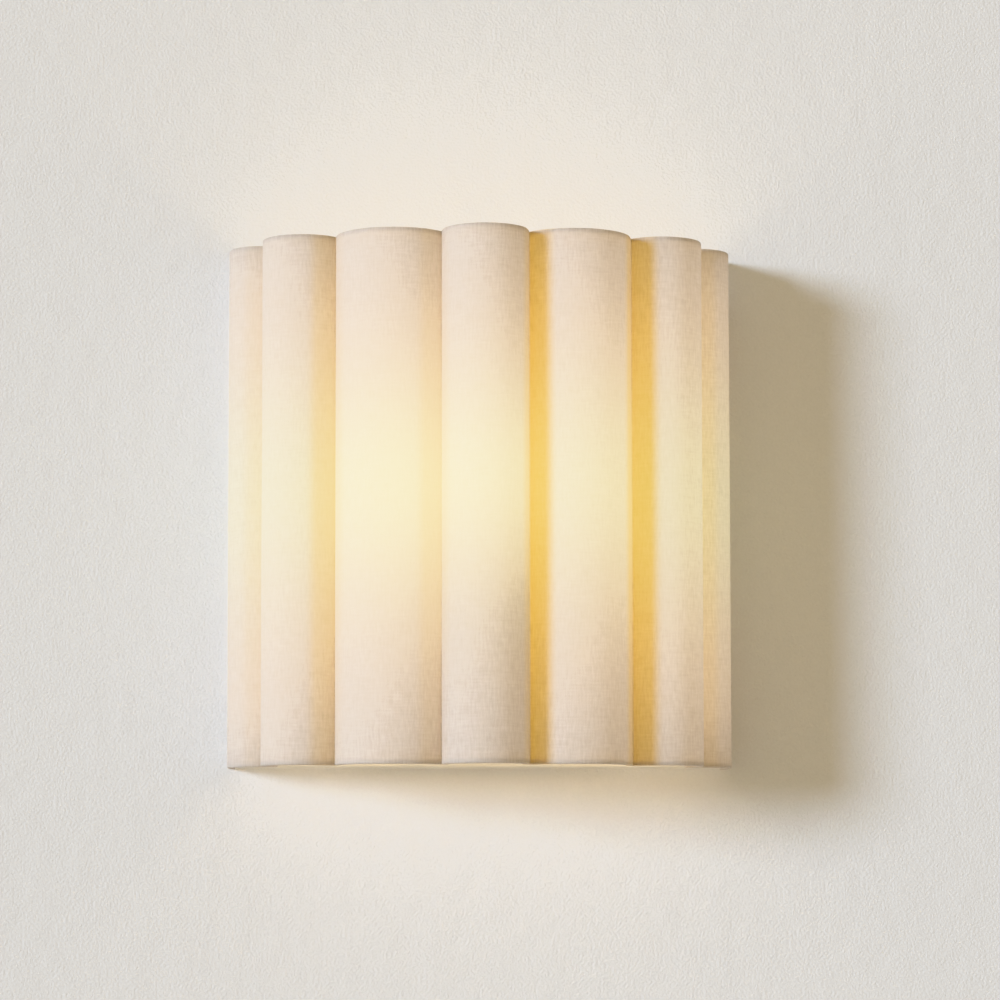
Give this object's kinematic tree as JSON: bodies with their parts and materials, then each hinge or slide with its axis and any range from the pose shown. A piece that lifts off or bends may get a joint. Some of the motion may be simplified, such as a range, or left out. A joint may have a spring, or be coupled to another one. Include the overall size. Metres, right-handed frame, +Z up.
{
  "type": "wall light with scalloped fabric shade",
  "caption": "Wall light with an open-ended linen shade of upright rounded lobes over a wire frame, a screw-in lamp on a bracket, and a covered wall pan on a box strap.",
  "frame": {"origin": "middle between the two wall box screws, on the wall plane", "axes": "+Z up the wall, +X to the right as one faces the light, +Y into the wall, so the shade's front faces -Y"},
  "size_m": [0.3, 0.1255, 0.309],
  "materials": {
    "linen": "plain-weave ivory linen, lets lamplight through",
    "liner": "translucent white shade board",
    "frame_white": "white powder coat on wire and flat bar",
    "pan_white": "white powder coat on pressed sheet",
    "zinc_steel": "zinc plated steel",
    "ground_green": "green passivated steel",
    "brass": "plain brass",
    "nickel": "satin nickel plate",
    "holder_white": "moulded white thermoset",
    "cap_metal": "rolled lamp cap",
    "black_insulator": "dark vitrite",
    "opal_glass": "frosted bulb glass",
    "rubber": "black rubber",
    "lead_black": "black wire insulation",
    "lead_white": "white wire insulation",
    "block_ivory": "moulded terminal block"
  },
  "bodies": {
    "wall_unit": {"pan_cap_nuts": "nickel", "wall_strap": "zinc_steel", "strap_studs": "zinc_steel", "strap_lock_nuts": "zinc_steel", "shade_studs": "zinc_steel", "bracket_rivets": "zinc_steel", "holder_nipple": "zinc_steel", "nipple_nut": "zinc_steel", "ground_screw": "ground_green", "back_pan": "pan_white", "lamp_bracket": "pan_white", "socket_body": "holder_white", "socket_screw_shell": "brass", "socket_contact": "brass", "terminal_screws": "brass", "lead_grommet": "rubber", "lead_live": "lead_black", "lead_neutral": "lead_white", "terminal_block": "block_ivory"},
    "shade": {"linen_cover": "linen", "rolled_hem_top": "linen", "rolled_hem_bottom": "linen", "lobe_liner_1": "liner", "lobe_liner_2": "liner", "lobe_liner_3": "liner", "lobe_liner_4": "liner", "lobe_liner_5": "liner", "lobe_liner_6": "liner", "lobe_liner_7": "liner", "valley_rib_1": "frame_white", "valley_rib_2": "frame_white", "valley_rib_3": "frame_white", "valley_rib_4": "frame_white", "valley_rib_5": "frame_white", "valley_rib_6": "frame_white", "shade_ring_top": "frame_white", "shade_ring_bottom": "frame_white", "back_bar_top": "frame_white", "back_bar_bottom": "frame_white", "back_upright_left": "frame_white", "back_upright_right": "frame_white"},
    "thumb_nut_top": {"thumb_nut_top": "nickel"},
    "thumb_nut_bottom": {"thumb_nut_bottom": "nickel"},
    "lamp": {"lamp_glass": "opal_glass", "lamp_cap": "cap_metal", "lamp_insulator": "black_insulator", "lamp_button": "brass"}
  },
  "joints": [
    {"name": "shade_lift_off", "type": "slide", "parent": "wall_unit", "child": "shade", "axis": [0, -1, 0], "range_m": [0, 0.13]},
    {"name": "top_thumb_nut_turn", "type": "hinge", "parent": "shade", "child": "thumb_nut_top", "pos_m": [0, -0.02, 0.118], "axis": [0, -1, 0], "continuous": true},
    {"name": "bottom_thumb_nut_turn", "type": "hinge", "parent": "shade", "child": "thumb_nut_bottom", "pos_m": [0, -0.02, -0.118], "axis": [0, -1, 0], "continuous": true},
    {"name": "lamp_unscrew", "type": "hinge", "parent": "wall_unit", "child": "lamp", "pos_m": [0, -0.062, 0], "axis": [0, 0, 1], "range_deg": [0, 1080]}
  ]
}
